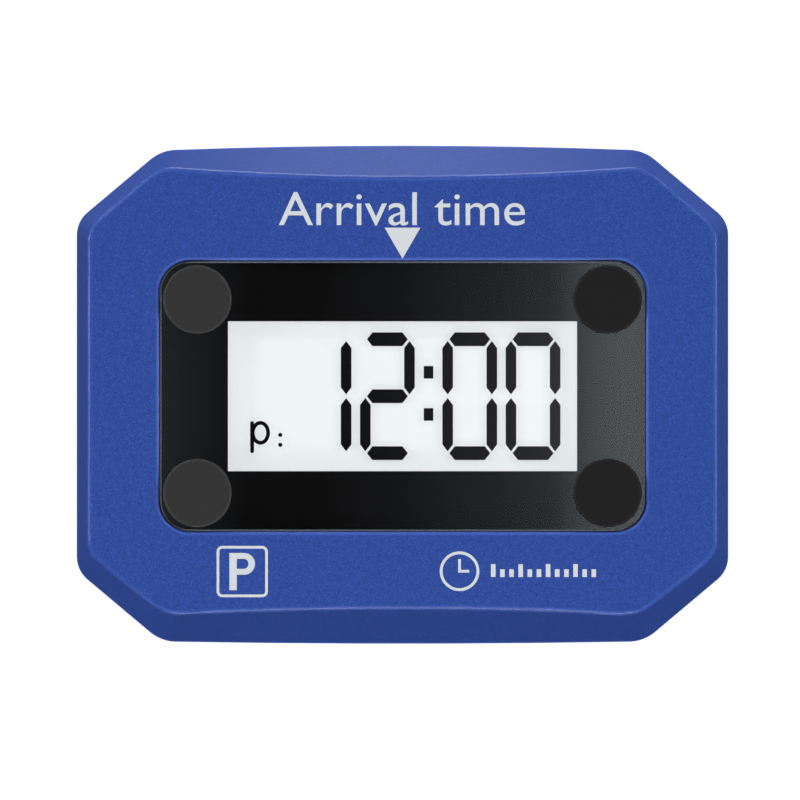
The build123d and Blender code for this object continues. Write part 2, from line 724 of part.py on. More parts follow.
# ---------------------------------------------------------------- keys and switches
for name, x in key_places.items():
    with BuildPart() as key:
        with BuildSketch(facing(flange_front, x, key_z)):
            SlotOverall(key_length + 2 * key_flange, key_height + 2 * key_flange)
        extrude(amount=-key_flange_thickness)
        with BuildSketch(facing(flange_back, x, key_z)):
            SlotOverall(key_length, key_height)
        extrude(amount=-(key_top - flange_back))
        fillet(key.faces().sort_by(Axis.Y)[-1].edges(), radius=key_edge_radius)
        with BuildSketch(facing(flange_front, x, key_z)):
            Circle(key_stem_radius)
        extrude(amount=flange_front - plunger_back)
        with BuildSketch(facing(key_top, x, key_z)):
            if name == "set":
                Circle(mark_length / 2)
                Circle(mark_length / 2 - mark_width, mode=Mode.SUBTRACT)
            else:
                Rectangle(mark_length, mark_width)
            if name == "plus":
                Rectangle(mark_width, mark_length)
        extrude(amount=mark_depth, mode=Mode.SUBTRACT)
    save(key.part, f"key_{name}")

    with BuildPart() as switch_base:
        with BuildSketch(facing(board_back, x, key_z)):
            Rectangle(switch_size, switch_size)
        extrude(amount=-switch_base_height)
        with BuildSketch(facing(dome_base, x, key_z)):
            Circle(plunger_radius + plunger_flange + 2 * hole_clearance)
        extrude(amount=-(shield_front - dome_base), mode=Mode.SUBTRACT)
    save(switch_base.part, f"switch_base_{name}")

    with BuildPart() as switch_shield:
        with BuildSketch(facing(shield_front, x, key_z)):
            Rectangle(switch_size, switch_size)
            Circle(plunger_radius + hole_clearance, mode=Mode.SUBTRACT)
        extrude(amount=-switch_shield_thickness)
        # Folded legs down two sides, soldered to the board
        leg_offset = switch_size / 2 + switch_shield_thickness / 2
        with BuildSketch(facing(board_back, x, key_z)):
            with GridLocations(2 * leg_offset, 0, 2, 1):
                Rectangle(switch_shield_thickness, switch_size / 3)
        extrude(amount=-(shield_back - board_back))
    save(switch_shield.part, f"switch_shield_{name}")

    with BuildPart() as switch_plunger:
        with BuildSketch(facing(plunger_back, x, key_z)):
            Circle(plunger_radius)
        extrude(amount=plunger_back - shield_front + plunger_flange_gap)
        with BuildSketch(facing(shield_front - plunger_flange_gap, x, key_z)):
            Circle(plunger_radius + plunger_flange)
        extrude(amount=plunger_flange_thickness)
    save(switch_plunger.part, f"switch_plunger_{name}")

    with BuildPart() as switch_dome:
        # Drawn pressed in by the key's travel, so that the plunger never reaches into it
        with BuildSketch(across(x, key_z)):
            Polygon((dome_base, dome_radius), (dome_top, dome_top_radius), (dome_top, 0),
                    (dome_top - dome_thickness, 0),
                    (dome_top - dome_thickness, dome_top_radius - dome_thickness / 2),
                    (dome_base, dome_radius - 2 * dome_thickness), align=None)
        revolve(axis=Axis((x, 0, key_z), (0, 1, 0)))
    save(switch_dome.part, f"switch_dome_{name}")

# ---------------------------------------------------------------- cells and contacts
for level, z, toward in (("upper", upper_cell_z, 1), ("lower", lower_cell_z, -1)):
    # The nub touches its contact's bump at one end of the box, and a spring the other end
    nub_tip = toward * (box_half_length - contact_bump)
    shoulder = nub_tip - toward * cell_nub_length
    base = nub_tip - toward * cell_length
    can_radius = cell_diameter / 2 - cell_sleeve
    with BuildPart() as cell:
        with BuildSketch(facing(cell_axis_depth, 0, z)):
            with BuildLine():
                Polyline((base, 0), (base, can_radius - cell_edge), (base + toward * cell_edge, can_radius),
                         (shoulder - toward * cell_edge, can_radius), (shoulder, can_radius - cell_edge),
                         (shoulder, cell_nub_diameter / 2), (nub_tip, cell_nub_diameter / 2),
                         (nub_tip, 0), (base, 0))
            make_face()
        revolve(axis=Axis((0, cell_axis_depth, z), (1, 0, 0)))
    save(cell.part, f"cell_{level}")
    with BuildPart() as cell_jacket:
        with BuildSketch(across(base + toward * cell_edge, z)):
            with Locations((cell_axis_depth, 0)):
                Circle(cell_diameter / 2)
                Circle(can_radius + thread_clearance, mode=Mode.SUBTRACT)
        extrude(amount=toward * (cell_length - cell_nub_length - 2 * cell_edge))
    save(cell_jacket.part, f"cell_jacket_{level}")


def contact_plate(end, z):
    """A square contact against an end wall of the box: end is -1 or 1."""
    x = end * (box_half_length - contact_thickness / 2)
    return slab(cell_axis_depth - contact_width / 2, contact_width, contact_thickness, contact_width,
                x=x, z=z)


def contact_bump_at(end, z):
    """The pressed bump that a cell's nub rests on."""
    with BuildPart() as bump:
        with BuildSketch(across(end * (box_half_length - contact_thickness), z)):
            with Locations((cell_axis_depth, 0)):
                Circle(cell_nub_diameter / 2)
        extrude(amount=-end * (contact_bump - contact_thickness), taper=bump_taper)
    return bump.part


# The right-hand end bridges the two cells
with BuildPart() as contact_bridge:
    add(contact_plate(1, upper_cell_z))
    add(contact_plate(1, lower_cell_z))
    add(slab(cell_axis_depth - bridge_width / 2, bridge_width, contact_thickness, cell_pitch,
             x=box_half_length - contact_thickness / 2, z=box_z))
    add(contact_bump_at(1, upper_cell_z))
save(contact_bridge.part, "contact_bridge")

# The left-hand end has the two terminals, each with a tab that reaches the circuit board
with BuildPart() as contact_negative:
    add(contact_plate(-1, upper_cell_z))
    tab_drop = tab_top - upper_cell_z
    add(slab(tab_front, tab_depth, contact_thickness, tab_drop,
             x=-box_half_length + contact_thickness / 2, z=tab_top - tab_drop / 2))
    add(slab(board_back, tab_front - board_back, contact_thickness, tab_on_board,
             x=-box_half_length + contact_thickness / 2, z=tab_top - tab_on_board / 2))
save(contact_negative.part, "contact_negative")

with BuildPart() as contact_positive:
    add(contact_plate(-1, lower_cell_z))
    add(contact_bump_at(-1, lower_cell_z))
    strip_x = -box_half_length - box_wall - contact_thickness / 2
    bridge_length = -box_half_length + contact_thickness - (strip_x - contact_thickness / 2)
    add(slab(tab_front, tab_depth, bridge_length, side_tab_height,
             x=-box_half_length + contact_thickness - bridge_length / 2, z=lower_cell_z))
    strip_height = tab_top - (lower_cell_z - side_tab_height / 2)
    add(slab(tab_front, tab_depth, contact_thickness, strip_height, x=strip_x,
             z=tab_top - strip_height / 2))
    add(slab(board_back, tab_front - board_back, contact_thickness, tab_on_board, x=strip_x,
             z=tab_top - tab_on_board / 2))
save(contact_positive.part, "contact_positive")

# A conical coil from the negative plate to the flat end of the upper cell
with BuildPart() as contact_spring:
    spring_reach = spring_length - contact_thickness - spring_wire
    with BuildLine() as coil:
        Helix(
            pitch=spring_reach / spring_turns,
            height=spring_reach,
            radius=spring_base_radius,
            center=(-box_half_length + contact_thickness + spring_wire / 2, cell_axis_depth, upper_cell_z),
            direction=(1, 0, 0),
            cone_angle=-spring_cone_angle,
        )
    with BuildSketch(Plane(origin=coil.line @ 0, z_dir=coil.line % 0)):
        Circle(spring_wire / 2)
    sweep(path=coil.line, is_frenet=True)
save(contact_spring.part, "contact_spring_left")

# The lower cell's spring is the same one, turned half way round the middle of the box
box_axis = Axis((0, 0, box_z), (0, 1, 0))
save(contact_spring.part.rotate(box_axis, 180), "contact_spring_right")

# ---------------------------------------------------------------- screws and label
with BuildPart() as case_screws:
    for x, z in case_screw_places:
        add(cross_head_screw(x, z, case_screw_seat, case_head_radius, case_head_height,
                             case_shank_radius, case_screw_grip + case_screw_bite))
save(case_screws.part, "case_screws")

with BuildPart() as board_screws:
    for x, z in upper_ears:
        add(cross_head_screw(x, z, board_back, small_head_radius, small_head_height,
                             small_shank_radius, board_back - plate_front + small_bite))
    for x, z in board_posts:
        add(cross_head_screw(x, z, board_back, small_head_radius, small_head_height,
                             small_shank_radius, board_thickness + small_bite))
save(board_screws.part, "board_screws")

with BuildPart() as carrier_screws:
    for x, z in lower_ears:
        add(cross_head_screw(x, z, plate_front + lower_ear_thickness, small_head_radius,
                             small_head_height, small_shank_radius, lower_ear_thickness + small_bite))
save(carrier_screws.part, "carrier_screws")

with BuildPart() as rating_label:
    with BuildSketch(facing(body_back - label_recess, z=label_z)):
        RectangleRounded(label_width, label_height, label_radius)
    extrude(amount=-label_thickness)
save(rating_label.part, "rating_label")
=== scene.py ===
import math

import bmesh
import bpy
from mathutils import Matrix, Vector


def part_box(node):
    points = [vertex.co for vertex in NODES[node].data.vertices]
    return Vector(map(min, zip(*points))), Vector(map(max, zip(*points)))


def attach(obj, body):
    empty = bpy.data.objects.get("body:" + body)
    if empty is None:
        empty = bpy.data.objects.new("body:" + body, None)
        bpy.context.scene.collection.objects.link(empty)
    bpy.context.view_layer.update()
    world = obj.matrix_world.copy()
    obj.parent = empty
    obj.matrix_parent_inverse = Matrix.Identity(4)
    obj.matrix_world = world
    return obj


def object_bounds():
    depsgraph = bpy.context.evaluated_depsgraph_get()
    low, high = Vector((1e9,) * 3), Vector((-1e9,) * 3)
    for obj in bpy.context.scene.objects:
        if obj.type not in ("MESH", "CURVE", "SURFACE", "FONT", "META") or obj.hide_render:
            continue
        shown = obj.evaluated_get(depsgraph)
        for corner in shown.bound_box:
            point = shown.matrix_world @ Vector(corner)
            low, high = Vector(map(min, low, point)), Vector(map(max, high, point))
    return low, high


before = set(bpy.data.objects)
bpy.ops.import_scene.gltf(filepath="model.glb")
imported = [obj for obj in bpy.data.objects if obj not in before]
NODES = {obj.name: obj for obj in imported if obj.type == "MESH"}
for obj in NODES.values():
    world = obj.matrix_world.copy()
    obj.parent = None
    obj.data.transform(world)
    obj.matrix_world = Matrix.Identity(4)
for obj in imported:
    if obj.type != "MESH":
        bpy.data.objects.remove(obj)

# The looks of an electronic parking disc. Metres, in the CAD model's own frame: X to the
# right seen from the front, Z up, -Y out of the display towards the reader.

cad_box = [list(corner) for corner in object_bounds()]
MM = 0.001
FACING = Matrix.Rotation(math.radians(90), 4, "X")  # lays a flat XY drawing upright, facing -Y

# ------------------------------------------------------------------ places from the frame
BEZEL_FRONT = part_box("front_bezel")[0][1]
SEGMENT_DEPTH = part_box("rear_glass")[0][1]
CASE_LOW = Vector(cad_box[0])
DOOR_TRAVEL = 0.035  # the open door hangs this far below the case, clear of the floor
DRAWN_IN = 0.02  # how far the display's layers are drawn in, mm

# ------------------------------------------------------------------ printing on the bezel, mm
INK_THICKNESS = 0.03
HEADER_WORDS = "Arrival time"
HEADER_LEFT, HEADER_RIGHT = -19.3, 19.1
HEADER_BASE, HEADER_CAP = 26.7, 5.15
POINTER_TOP, POINTER_TIP, POINTER_HALF = 26.3, 21.45, 2.8
SIGN_X, SIGN_Z, SIGN_SIZE, SIGN_CORNER, SIGN_STROKE = -25.0, -27.35, 8.0, 0.9, 0.42
SIGN_LETTER_LEFT, SIGN_LETTER_HALF = 2.0, 2.9  # from the sign's centre to the letter's edges
SIGN_LETTER_STROKE, SIGN_LETTER_THIN = 1.15, 0.8  # the level strokes are thinner by this factor
BOWL_RADIUS, BOWL_X, BOWL_HOLE_X = 1.7, 2.3, 2.2
MARK_X, MARK_Z, MARK_RADIUS, MARK_STROKE = 8.9, -27.3, 3.1, 0.45
HAND_HALF_WIDTH, HOUR_HAND, MINUTE_HAND = 0.22, 1.5, 1.9
TICKS_LEFT, TICKS_RIGHT, TICKS_Z, TICK_HEIGHT = 13.8, 30.2, -27.2, 2.0
TICK_COUNT, TALL_TICK_EVERY, SHORT_TICK = 12, 3, 0.6

# ------------------------------------------------------------------ paint in the key marks, mm
KEYS = ("minus", "set", "plus")
KEY_MARK, KEY_MARK_WIDTH, KEY_MARK_CORNER = 3.36, 0.66, 0.01
KEY_MARK_SUNK, KEY_MARK_FILL = 0.05, 0.16

# ------------------------------------------------------------------ print on the label, mm
BORDER_INSET, BORDER_LINE, BORDER_CORNER = 0.6, 0.2, 0.6
CELLS_X, CELLS_APART, CELL_LENGTH, CELL_WIDTH, CELL_LINE = -13.5, 1.9, 14.0, 2.6, 0.3
CELL_CORNER, CELL_INNER_CORNER = 0.3, 0.2
NUB_X, NUB_LENGTH, NUB_WIDTH, NUB_CORNER = 7.4, 0.7, 1.1, 0.1
MINUS_X, MINUS_LENGTH, MINUS_WIDTH, MINUS_CORNER = 5.4, 1.2, 0.3, 0.05
PLUS_X, PLUS_REACH, PLUS_HALF_WIDTH = 5.2, 0.6, 0.15
RULES_END, RULES_TOP, RULE_PITCH, RULE_WIDTH, RULE_CORNER = 25.0, 2.7, 1.8, 0.55, 0.1
RULE_LENGTHS = (16.0, 13.0, 15.0, 9.0)

# ------------------------------------------------------------------ the display's digits, mm
DIGIT_CENTRES = {"1": -12.26, "2": -2.36, "0a": 10.51, "0b": 20.4}
DIGIT_HALF_WIDTH = 3.45  # digit centre to the middle of an upright segment
DIGIT_HALF_HEIGHT = 8.9  # digit centre to the middle of the top or bottom segment
UPRIGHT_LENGTH, UPRIGHT_WIDTH, UPRIGHT_POINT = 8.35, 1.66, 1.1
LEVEL_LENGTH, LEVEL_WIDTH, LEVEL_POINT = 6.4, 2.15, 0.85
COLON_X, COLON_HIGH, COLON_LOW, COLON_WIDTH, COLON_HEIGHT = 4.07, 3.74, -2.85, 1.5, 1.97
SEGMENT_THICKNESS = 0.02
LIT = {"1": "bc", "2": "abged", "0a": "abcdef", "0b": "abcdef"}
SMALL_STEM_LEFT, SMALL_STEM_Z, SMALL_STEM_HEIGHT, SMALL_STROKE = -23.8, -6.4, 5.0, 0.6
SMALL_BOWL_X, SMALL_BOWL_Z, SMALL_BOWL_WIDE, SMALL_BOWL_TALL = -22.2, -5.72, 1.5, 1.86
SMALL_DOTS_X, SMALL_DOTS_Z, SMALL_DOT_RADIUS = -19.1, (-6.05, -7.6), 0.33

# ------------------------------------------------------------------ surfaces
CLOUD_SIZE = 14  # mm, the widest mottling of moulded plastic
CLOUD_SHADE = (0.93, 0.94, 0.95)
PALE_LIFT = 0.09  # grey added to specks, and to edges as wear and painted highlight, as a share of the strongest channel
SPECK_LIGHT = 1.7  # how much lighter specks are than that
EDGE_POLISH = 0.42  # a rubbed edge has this share of the roughness
# The cosine between a surface's normal and its rounded normal: on the flat, and fully at an edge
FLAT, TURNED = 0.998, 0.975
# The Y of a lens face's normal: from where it starts to mirror, and from where it does fully
MIRROR_STARTS, MIRROR_FULL = -0.4, -0.6
# The same without its sign: where a face is all cut edge, and where it is none
ALL_EDGE, NO_EDGE = 0.75, 0.95

# ------------------------------------------------------------------ stage, metres
VIEW_CENTRE = Vector((-0.39, 0, -0.59)) * MM  # the middle of the view, on the front face
VIEW_WIDTH = 124.8 * MM  # what the view spans at the front face
CAMERA_DISTANCE = 2.5
SENSOR = 36.0  # mm
WALL_RADIUS, WALL_HEIGHT, WALL_CURVE = 4.5, 4.5, 1.0
WALL_SIDES, CURVE_STEPS = 64, 12
CARD_HALF = 0.16
CARD_GAP = 0.05  # from the camera back to the card
CARD_SPAN = 0.08  # the card's shades run from this far left to this far right
CARD_SHADES = (
    (0.0, 0.5), (0.07, 0.26), (0.2, 0.04), (0.33, 0.03), (0.5, 0.13),
    (0.7, 0.38), (0.8, 0.6), (0.88, 1.6), (0.94, 2.1), (1.0, 2.0),
)
# Name, place, size, watts, and whether a surface mirrors it. All are aimed at the object.
LAMPS = (
    ("key_right", (0.5, -0.6, 0.62), 0.14, 2.9, True),
    ("key_left", (-0.5, -0.6, 0.62), 0.14, 2.4, True),
    ("side_right", (0.95, -0.5, 0.1), 0.24, 6.8, True),
    ("side_left", (-0.95, -0.5, 0.1), 0.2, 7.4, True),
    ("top", (0, 0.05, 0.8), 0.3, 4.3, True),
    ("top_back", (0, 0.7, 1.1), 0.3, 0.6, True),
    ("under", (0, -0.45, -0.6), 0.3, 3.8, True),
    ("back_left", (-0.6, 0.9, 0.6), 0.9, 12.0, False),
    ("back_right", (0.7, 0.9, 0.6), 0.9, 12.0, False),
)


# ------------------------------------------------------------------ material helpers
def new_material(name):
    """A material with one Principled shader. Returns (material, its node tree, the shader)."""
    material = bpy.data.materials.new(name)
    material.use_nodes = True
    tree = material.node_tree
    return material, tree, tree.nodes["Principled BSDF"]


def node(tree, kind, **settings):
    """Adds a node and sets its properties, or its inputs where the name is an input's."""
    made = tree.nodes.new(kind)
    for key, value in settings.items():
        if key in made.inputs.keys():
            made.inputs[key].default_value = value
        else:
            setattr(made, key, value)
    return made


def connect(tree, source, socket):
    """Links another node's output to a socket, or sets the socket to a plain value."""
    if isinstance(source, bpy.types.NodeSocket):
        tree.links.new(source, socket)
    else:
        socket.default_value = source


def object_place(tree):
    """Where a point lies in the object's own space."""
    return node(tree, "ShaderNodeTexCoord").outputs["Object"]


def split(tree, vector):
    """A node whose outputs are a vector's X, Y and Z."""
    made = node(tree, "ShaderNodeSeparateXYZ")
    tree.links.new(vector, made.inputs["Vector"])
    return made


def grain(tree, size, detail=3.0, roughness=0.55):
    """Noise in the object's own space whose features are about size metres across."""
    noise = node(tree, "ShaderNodeTexNoise", Scale=1.0 / size, Detail=detail, Roughness=roughness)
    tree.links.new(object_place(tree), noise.inputs["Vector"])
    return noise.outputs["Fac"]


def spread(tree, source, low, high, from_low=0.3, from_high=0.7):
    """Maps a value to a range. Noise seldom leaves 0.3 to 0.7, so that is where it starts."""
    mapped = node(tree, "ShaderNodeMapRange")
    mapped.inputs["From Min"].default_value = from_low
    mapped.inputs["From Max"].default_value = from_high
    mapped.inputs["To Min"].default_value = low
    mapped.inputs["To Max"].default_value = high
    tree.links.new(source, mapped.inputs["Value"])
    return mapped.outputs["Result"]


def shades(tree, source, dark, light):
    """A colour between two, by a value."""
    ramp = node(tree, "ShaderNodeValToRGB")
    ramp.color_ramp.elements[0].color = (*dark, 1)
    ramp.color_ramp.elements[1].color = (*light, 1)
    tree.links.new(source, ramp.inputs["Fac"])
    return ramp.outputs["Color"]


def combined(tree, operation, first, second, clamp=False):
    """Two values put together by a Math node."""
    maths = node(tree, "ShaderNodeMath", operation=operation, use_clamp=clamp)
    connect(tree, first, maths.inputs[0])
    connect(tree, second, maths.inputs[1])
    return maths.outputs["Value"]


def colour_mix(tree, factor, first, second, blend="MIX"):
    """Two colours mixed by a factor."""
    mixed = node(tree, "ShaderNodeMix", data_type="RGBA", blend_type=blend)
    connect(tree, factor, mixed.inputs["Factor"])
    connect(tree, first, mixed.inputs["A"])
    connect(tree, second, mixed.inputs["B"])
    return mixed.outputs["Result"]


def shader_mix(tree, factor, first, second):
    """Two shaders mixed by a factor."""
    mixed = node(tree, "ShaderNodeMixShader")
    tree.links.new(factor, mixed.inputs["Fac"])
    tree.links.new(first, mixed.inputs[1])
    tree.links.new(second, mixed.inputs[2])
    return mixed.outputs["Shader"]


def bump(tree, shader, source, depth):
    """Raises the surface by a value, depth metres at most."""
    raised = node(tree, "ShaderNodeBump", Strength=1.0, Distance=depth)
    tree.links.new(source, raised.inputs["Height"])
    tree.links.new(raised.outputs["Normal"], shader.inputs["Normal"])


def scaled(colour, factor):
    """A colour made lighter or darker."""
    return tuple(min(1.0, channel * factor) for channel in colour)


def edge_mask(tree, radius):
    """1 along outer and inner edges, 0 on the flat: how far rounding turns the surface."""
    rounded_off = node(tree, "ShaderNodeBevel", Radius=radius, samples=6)
    flat = node(tree, "ShaderNodeNewGeometry")
    turned = node(tree, "ShaderNodeVectorMath", operation="DOT_PRODUCT")
    tree.links.new(rounded_off.outputs["Normal"], turned.inputs[0])
    tree.links.new(flat.outputs["Normal"], turned.inputs[1])
    return spread(tree, turned.outputs["Value"], 0.0, 1.0, FLAT, TURNED)


# ------------------------------------------------------------------ kinds of material
def moulded_plastic(name, colour, size, contrast, roughness, depth, edge_wear_and_highlight=0.0, shine=0.5,
                    edge_reach=0.6, edge_lift=2.0, ior=1.5):
    """Moulded plastic with a fine spark-eroded grain of a size in mm: mottled at two scales,
    with sparse bright specks, a little cloudy over the large scale, and where
    edge_wear_and_highlight is above 0, smoother along its edges and lighter there, the
    lightening partly wear and partly a painted highlight."""
    material, tree, shader = new_material(name)
    shader.inputs["Specular IOR Level"].default_value = shine
    shader.inputs["IOR"].default_value = ior
    fine = grain(tree, size * MM, detail=2.0, roughness=0.7)
    coarse = grain(tree, 4 * size * MM, detail=2.0)
    cloud = grain(tree, CLOUD_SIZE * MM, detail=2.0)
    specks = grain(tree, 0.7 * size * MM, detail=1.0)
    pale = [channel + PALE_LIFT * max(colour) for channel in colour]
    mottled = combined(tree, "ADD", spread(tree, fine, 0.0, 0.8), spread(tree, coarse, 0.0, 0.2))
    base = shades(tree, mottled, scaled(colour, 1 - contrast), scaled(colour, 1 + contrast))
    specked = colour_mix(tree, spread(tree, specks, 0.0, 3 * contrast, 0.58, 0.78), base,
                         (*scaled(pale, SPECK_LIGHT), 1))
    haze = shades(tree, cloud, CLOUD_SHADE, (1, 1, 1))
    colour_out = colour_mix(tree, 1.0, specked, haze, "MULTIPLY")
    rough_out = spread(tree, fine, roughness - 0.06, roughness + 0.08)
    # Painted highlight: the edges are lightened partly for wear and partly to stand in for the
    # highlight along them
    if edge_wear_and_highlight:
        edges = edge_mask(tree, edge_reach * MM)
        rubbed_and_highlit = combined(tree, "MULTIPLY", edges, edge_wear_and_highlight)
        colour_out = colour_mix(tree, rubbed_and_highlit, colour_out, (*scaled(pale, edge_lift), 1))
        polished = spread(tree, edges, 1.0, EDGE_POLISH, 0.0, 1.0)
        rough_out = combined(tree, "MULTIPLY", rough_out, polished)
    tree.links.new(colour_out, shader.inputs["Base Color"])
    tree.links.new(rough_out, shader.inputs["Roughness"])
    bump(tree, shader, fine, depth * MM)
    return material


def clear_gloss(name, tint, roughness=0.02, ior=1.49):
    """A thin clear pane: light goes straight through it, tinted, and it mirrors by its angle."""
    material, tree, shader = new_material(name)
    tree.nodes.remove(shader)
    through = node(tree, "ShaderNodeBsdfTransparent", Color=(*tint, 1))
    mirror = node(tree, "ShaderNodeBsdfGlossy", Roughness=roughness, Color=(1, 1, 1, 1))
    angle = node(tree, "ShaderNodeFresnel", IOR=ior)
    face = node(tree, "ShaderNodeNewGeometry")
    turned = split(tree, face.outputs["True Normal"])
    tree.links.new(face.outputs["True Normal"], mirror.inputs["Normal"])
    tree.links.new(face.outputs["True Normal"], angle.inputs["Normal"])
    # Only the face towards the reader mirrors: the others are taped or in the dark
    to_reader = spread(tree, turned.outputs["Y"], 1.0, 0.0, MIRROR_FULL, MIRROR_STARTS)
    outside = combined(tree, "SUBTRACT", to_reader, face.outputs["Backfacing"], clamp=True)
    mirrored = combined(tree, "MULTIPLY", angle.outputs["Fac"], outside)
    pane = shader_mix(tree, mirrored, through.outputs["BSDF"], mirror.outputs["BSDF"])
    # The cut edges are frosted and catch the light
    frost = node(tree, "ShaderNodeBsdfDiffuse", Roughness=0.6)
    grit = spread(tree, grain(tree, 0.3 * MM), 0, 1)
    frosting = shades(tree, grit, (0.10, 0.11, 0.12), (0.26, 0.28, 0.31))
    tree.links.new(frosting, frost.inputs["Color"])
    level = combined(tree, "ABSOLUTE", turned.outputs["Y"], 0.0)
    cut_edge = spread(tree, level, 1.0, 0.0, ALL_EDGE, NO_EDGE)
    whole = shader_mix(tree, cut_edge, pane, frost.outputs["BSDF"])
    tree.links.new(whole, tree.nodes["Material Output"].inputs["Surface"])
    return material


def clear_pane(name, tint, cover):
    """Glass or film bonded on both sides: it shows only as a faint, even tint."""
    material, tree, shader = new_material(name)
    fine = spread(tree, grain(tree, 3 * MM, detail=1.0), 0, 1)
    tree.links.new(shades(tree, fine, scaled(tint, 0.9), tint), shader.inputs["Base Color"])
    shader.inputs["Roughness"].default_value = 0.1
    shader.inputs["Specular IOR Level"].default_value = 0.0
    shader.inputs["Alpha"].default_value = cover
    return material


def ink(name, colour, roughness=0.5, shine=0.3):
    """Screen-printed ink: a dull, slightly uneven coat with pinholes of the grain below.
    Ink bonded to the back of glass has no surface of its own, so no shine."""
    material, tree, shader = new_material(name)
    shader.inputs["Specular IOR Level"].default_value = shine
    fine = grain(tree, 0.25 * MM, detail=2.0)
    coat = shades(tree, spread(tree, fine, 0, 1), scaled(colour, 0.9), colour)
    tree.links.new(coat, shader.inputs["Base Color"])
    tree.links.new(spread(tree, fine, roughness - 0.08, roughness + 0.1), shader.inputs["Roughness"])
    bump(tree, shader, fine, 0.008 * MM)
    return material


def metal(name, colour, roughness):
    """Plated metal, drawn or stamped, with faint tarnish."""
    material, tree, shader = new_material(name)
    fine = grain(tree, 0.4 * MM, detail=4.0)
    plating = shades(tree, spread(tree, fine, 0, 1), scaled(colour, 0.85), colour)
    tree.links.new(plating, shader.inputs["Base Color"])
    shader.inputs["Metallic"].default_value = 1.0
    tree.links.new(spread(tree, fine, roughness - 0.08, roughness + 0.12), shader.inputs["Roughness"])
    bump(tree, shader, fine, 0.004 * MM)
    return material


def reflector_material():
    """The white ground of the display: diffuse film with a faint pearly grain. It is made dim
    and glows: the glow is painted light, which stands in for the light reaching it and fills
    the shade at the edges of its recess.
    """
    material, tree, shader = new_material("reflector_white")
    fine = grain(tree, 1.2 * MM, detail=2.0)
    pearl = shades(tree, spread(tree, fine, 0, 1), (0.16, 0.166, 0.169), (0.17, 0.176, 0.179))
    tree.links.new(pearl, shader.inputs["Base Color"])
    tree.links.new(spread(tree, fine, 0.5, 0.65), shader.inputs["Roughness"])
    # Painted light: an even glow stands in for the light that falls on the film through the window
    shader.inputs["Emission Color"].default_value = (0.93, 0.98, 1.0, 1)
    shader.inputs["Emission Strength"].default_value = 0.725
    return material


def zebra_material():
    """Alternate carbon and clear layers of silicone, set across the strip's length."""
    material, tree, shader = new_material("zebra_layers")
    bands = node(tree, "ShaderNodeTexWave", Scale=1.0 / (0.6 * MM), Distortion=0.3)
    bands.bands_direction = "X"
    tree.links.new(object_place(tree), bands.inputs["Vector"])
    layers = shades(tree, bands.outputs["Fac"], (0.02, 0.02, 0.02), (0.42, 0.16, 0.17))
    tree.links.new(layers, shader.inputs["Base Color"])
    tree.links.new(spread(tree, bands.outputs["Fac"], 0.5, 0.75), shader.inputs["Roughness"])
    return material


def board_material():
    """Green solder mask over copper tracks that run in straight lines."""
    material, tree, shader = new_material("board_green")
    turned = node(tree, "ShaderNodeMapping", Rotation=(math.radians(90), 0, 0))
    tree.links.new(object_place(tree), turned.inputs["Vector"])
    tracks = node(tree, "ShaderNodeTexBrick", Scale=1.0 / (3.0 * MM))
    tracks.inputs["Mortar Size"].default_value = 0.06
    tracks.inputs["Mortar Smooth"].default_value = 0.1
    tree.links.new(turned.outputs["Vector"], tracks.inputs["Vector"])
    fine = grain(tree, 0.3 * MM)
    mask = shades(tree, spread(tree, fine, 0, 1), (0.012, 0.1, 0.035), (0.018, 0.13, 0.045))
    over_tracks = colour_mix(tree, tracks.outputs["Fac"], mask, (0.03, 0.2, 0.06, 1))
    tree.links.new(over_tracks, shader.inputs["Base Color"])
    tree.links.new(spread(tree, fine, 0.25, 0.4), shader.inputs["Roughness"])
    bump(tree, shader, tracks.outputs["Fac"], 0.03 * MM)
    return material


def jacket_material(name, plus_x, minus_x):
    """A cell's printed film: dark grey, with a light band towards its positive end."""
    dark_film, light_band = (0.02, 0.022, 0.026, 1), (0.42, 0.6, 0.12, 1)
    band_start, band_end = 0.7, 0.83  # from the negative end to the positive end
    material, tree, shader = new_material(name)
    along = spread(tree, split(tree, object_place(tree)).outputs["X"], 0.0, 1.0, minus_x, plus_x)
    ramp = node(tree, "ShaderNodeValToRGB")
    ramp.color_ramp.interpolation = "CONSTANT"
    ramp.color_ramp.elements[0].color = dark_film
    ramp.color_ramp.elements[1].color = dark_film
    ramp.color_ramp.elements[1].position = band_end
    ramp.color_ramp.elements.new(band_start).color = light_band
    tree.links.new(along, ramp.inputs["Fac"])
    fine = grain(tree, 0.4 * MM)
    tree.links.new(ramp.outputs["Color"], shader.inputs["Base Color"])
    tree.links.new(spread(tree, fine, 0.2, 0.32), shader.inputs["Roughness"])
    bump(tree, shader, fine, 0.006 * MM)
    return material


def jacket_of(level):
    """The film for a cell, which way round it lies being told by the nub on its can."""
    can_low, can_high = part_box(f"cell_{level}")
    jacket_low, jacket_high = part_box(f"cell_jacket_{level}")
    nub_is_right = can_high[0] - jacket_high[0] > jacket_low[0] - can_low[0]
    ends = (jacket_high[0], jacket_low[0]) if nub_is_right else (jacket_low[0], jacket_high[0])
    return jacket_material(f"jacket_{level}", *ends)


# ------------------------------------------------------------------ the materials
# The lighter edges given to the case, the keys and the dots are partly a painted highlight, strongest
# on the dots' rims
case_blue = moulded_plastic("case_blue", (0.0129, 0.0392, 0.197), 0.24, 0.28, 0.4, 0.012,
                            edge_wear_and_highlight=0.6, shine=0.5, ior=1.3, edge_lift=2.4)
dot_left = moulded_plastic("hook_dot_grey", (0.0162, 0.0162, 0.0160), 0.12, 0.1, 0.8, 0.006,
                           edge_wear_and_highlight=0.9, shine=0.15, edge_reach=0.22, edge_lift=6.0)
